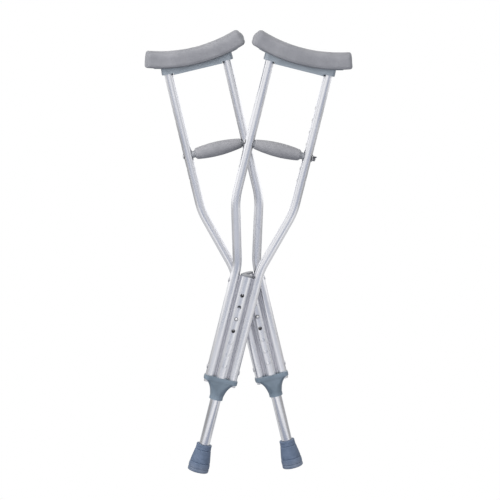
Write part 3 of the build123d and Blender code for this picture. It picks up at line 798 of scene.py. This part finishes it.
# ---- the studio -----------------------------------------------------------------------------------
def stage_plane(name, width, height, location, facing, material):
    """A stage panel at a place, facing a point."""
    corners = [(x * width / 2, y * height / 2, 0) for x, y in ((-1, -1), (1, -1), (1, 1), (-1, 1))]
    mesh = bpy.data.meshes.new(name)
    mesh.from_pydata(corners, [], [(0, 1, 2, 3)])
    mesh.materials.append(material)
    panel = bpy.data.objects.new(name, mesh)
    bpy.context.scene.collection.objects.link(panel)
    panel.location = location
    panel.rotation_euler = (Vector(facing) - Vector(location)).to_track_quat("Z", "Y").to_euler()
    return panel


def show_only_to(stage_object, *rays):
    """Hides a stage object from every kind of ray but these."""
    for ray in ("camera", "diffuse", "glossy", "transmission", "volume_scatter", "shadow"):
        setattr(stage_object, f"visible_{ray}", ray in rays)


def flat_material(name, brightness):
    """A stage material that looks the same from everywhere, whatever lights it."""
    s = Shader(name)
    s.feed(s.surface, {"Emission Color": (1.0, 1.0, 1.0, 1.0), "Emission Strength": brightness})
    return s.finish(Base_Color=(0.0, 0.0, 0.0, 1.0), Roughness=1.0, Specular_IOR_Level=0.0)


def area_light(name, size, power, location, target, colour=(1.0, 1.0, 1.0)):
    """A square lamp at a location, aimed at a target."""
    light = bpy.data.lights.new(name, "AREA")
    light.size = size
    light.energy = power
    light.color = colour
    lamp = bpy.data.objects.new(name, light)
    lamp.location = location
    lamp.rotation_euler = (Vector(target) - Vector(location)).to_track_quat("-Z", "Y").to_euler()
    bpy.context.scene.collection.objects.link(lamp)
    return lamp


def sky(low, level, high):
    """A world whose colour runs from low, underneath, through level to high, overhead."""
    world = bpy.data.worlds.new("studio")
    world.use_nodes = True
    tree = world.node_tree
    direction = tree.nodes.new("ShaderNodeTexCoord").outputs["Generated"]
    split = tree.nodes.new("ShaderNodeSeparateXYZ")
    share = tree.nodes.new("ShaderNodeMapRange")
    ramp = tree.nodes.new("ShaderNodeValToRGB")
    tree.links.new(direction, split.inputs["Vector"])
    tree.links.new(split.outputs["Z"], share.inputs["Value"])
    share.inputs["From Min"].default_value = -0.6
    share.inputs["From Max"].default_value = 0.6
    tree.links.new(share.outputs["Result"], ramp.inputs["Fac"])
    ramp.color_ramp.elements[0].color = (*low, 1.0)
    ramp.color_ramp.elements[1].color = (*high, 1.0)
    ramp.color_ramp.elements[1].position = 0.6
    ramp.color_ramp.elements.new(0.38).color = (*level, 1.0)
    tree.links.new(ramp.outputs["Color"], tree.nodes["Background"].inputs["Color"])
    bpy.context.scene.world = world


scene = bpy.context.scene
scene.view_settings.view_transform = "Standard"
middle_of_pair = (cad_low + cad_high) / 2
white = flat_material("white_paper", 1.0)
glow = flat_material("glow", 1.15)

# No shadow shows on the floor, so it can lie low enough to keep a let-out leg in sight.
FLOOR_HEIGHT = -0.25
floor = stage_plane("floor", 60.0, 60.0, (0, 0, FLOOR_HEIGHT), (0, 0, 1), white)
show_only_to(floor, "camera", "shadow")
# The part of the floor near the tips, as the tubes see it.
near_floor = stage_plane("near_floor", 3.2, 0.9, (0, -0.85, -0.001), (0, -0.85, 1), glow)
show_only_to(near_floor, "glossy")

# A white surround that only the camera sees, so that it adds no light of its own.
sphere = bpy.data.meshes.new("surround")
bm = bmesh.new()
bmesh.ops.create_uvsphere(bm, u_segments=48, v_segments=24, radius=28.0)
bm.to_mesh(sphere)
bm.free()
sphere.materials.append(white)
surround = bpy.data.objects.new("surround", sphere)
scene.collection.objects.link(surround)
show_only_to(surround, "camera")

sky((0.40, 0.42, 0.48), (0.47, 0.51, 0.62), (0.82, 0.825, 0.83))


def card(name, bearing, distance, width, low, high, material):
    """An upright card for the tubes to reflect, at a bearing clockwise from the camera's side."""
    turn = math.radians(bearing)
    height = (low + high) / 2
    spot = Vector((distance * math.sin(turn), -distance * math.cos(turn), height))
    show_only_to(stage_plane(name, width, high - low, spot, (0, 0, height), material), "glossy")


# Bands of light and dark at both sides draw the long reflections along the tubes.
card_dark = flat_material("card_dark", 0.44)
card_grey = flat_material("card_grey", 0.80)
card_light = flat_material("card_light", 1.35)
for side, bearing in (("right", 105.0), ("left", -105.0)):
    card(f"low_{side}_card", bearing, 1.7, 3.2, -1.2, -0.05, card_grey)
    card(f"middle_{side}_card", bearing, 1.7, 3.2, -0.05, 0.42, card_dark)
    card(f"high_{side}_card", bearing, 1.7, 3.2, 0.42, 2.2, card_light)
card("front_card", -15.0, 2.4, 2.6, 0.45, 1.8, glow)
card("back_card", 180.0, 1.7, 1.8, 0.42, 2.2, card_light)

# The key lamp stands high on the left, the fill low in front, and the small top lamp lights the buttons.
key = area_light("key", 2.2, 77.0, (-1.9, -1.5, 1.9), middle_of_pair, (1.0, 0.985, 0.97))
key.visible_glossy = False
fill = area_light("fill", 2.0, 26.0, (0.6, -2.6, 0.6), middle_of_pair)
fill.visible_glossy = False
area_light("top", 0.9, 12.0, (-0.5, -0.9, 2.6), middle_of_pair)

# ---- the camera -----------------------------------------------------------------------------------
CAMERA_DISTANCE = 3.5
CAMERA_AZIMUTH_DEG, CAMERA_ELEVATION_DEG, CAMERA_ROLL_DEG = -2.78, 7.5, 0.37
CAMERA_LENS = 121.5
AIM_RIGHT, AIM_HEIGHT = 0.0062, 0.4692

azimuth, elevation = math.radians(CAMERA_AZIMUTH_DEG), math.radians(CAMERA_ELEVATION_DEG)
backward = Vector(
    (
        math.sin(azimuth) * math.cos(elevation),
        -math.cos(azimuth) * math.cos(elevation),
        math.sin(elevation),
    )
)
aim = Vector((AIM_RIGHT, 0, AIM_HEIGHT))
camera_data = bpy.data.cameras.new("camera")
camera_data.lens = CAMERA_LENS
camera_data.sensor_width = 36.0
camera = bpy.data.objects.new("camera", camera_data)
camera.location = aim + backward * CAMERA_DISTANCE
level_view = backward.to_track_quat("Z", "Y")
camera.rotation_euler = (level_view @ Quaternion((0, 0, 1), math.radians(CAMERA_ROLL_DEG))).to_euler()
scene.collection.objects.link(camera)
scene.camera = camera
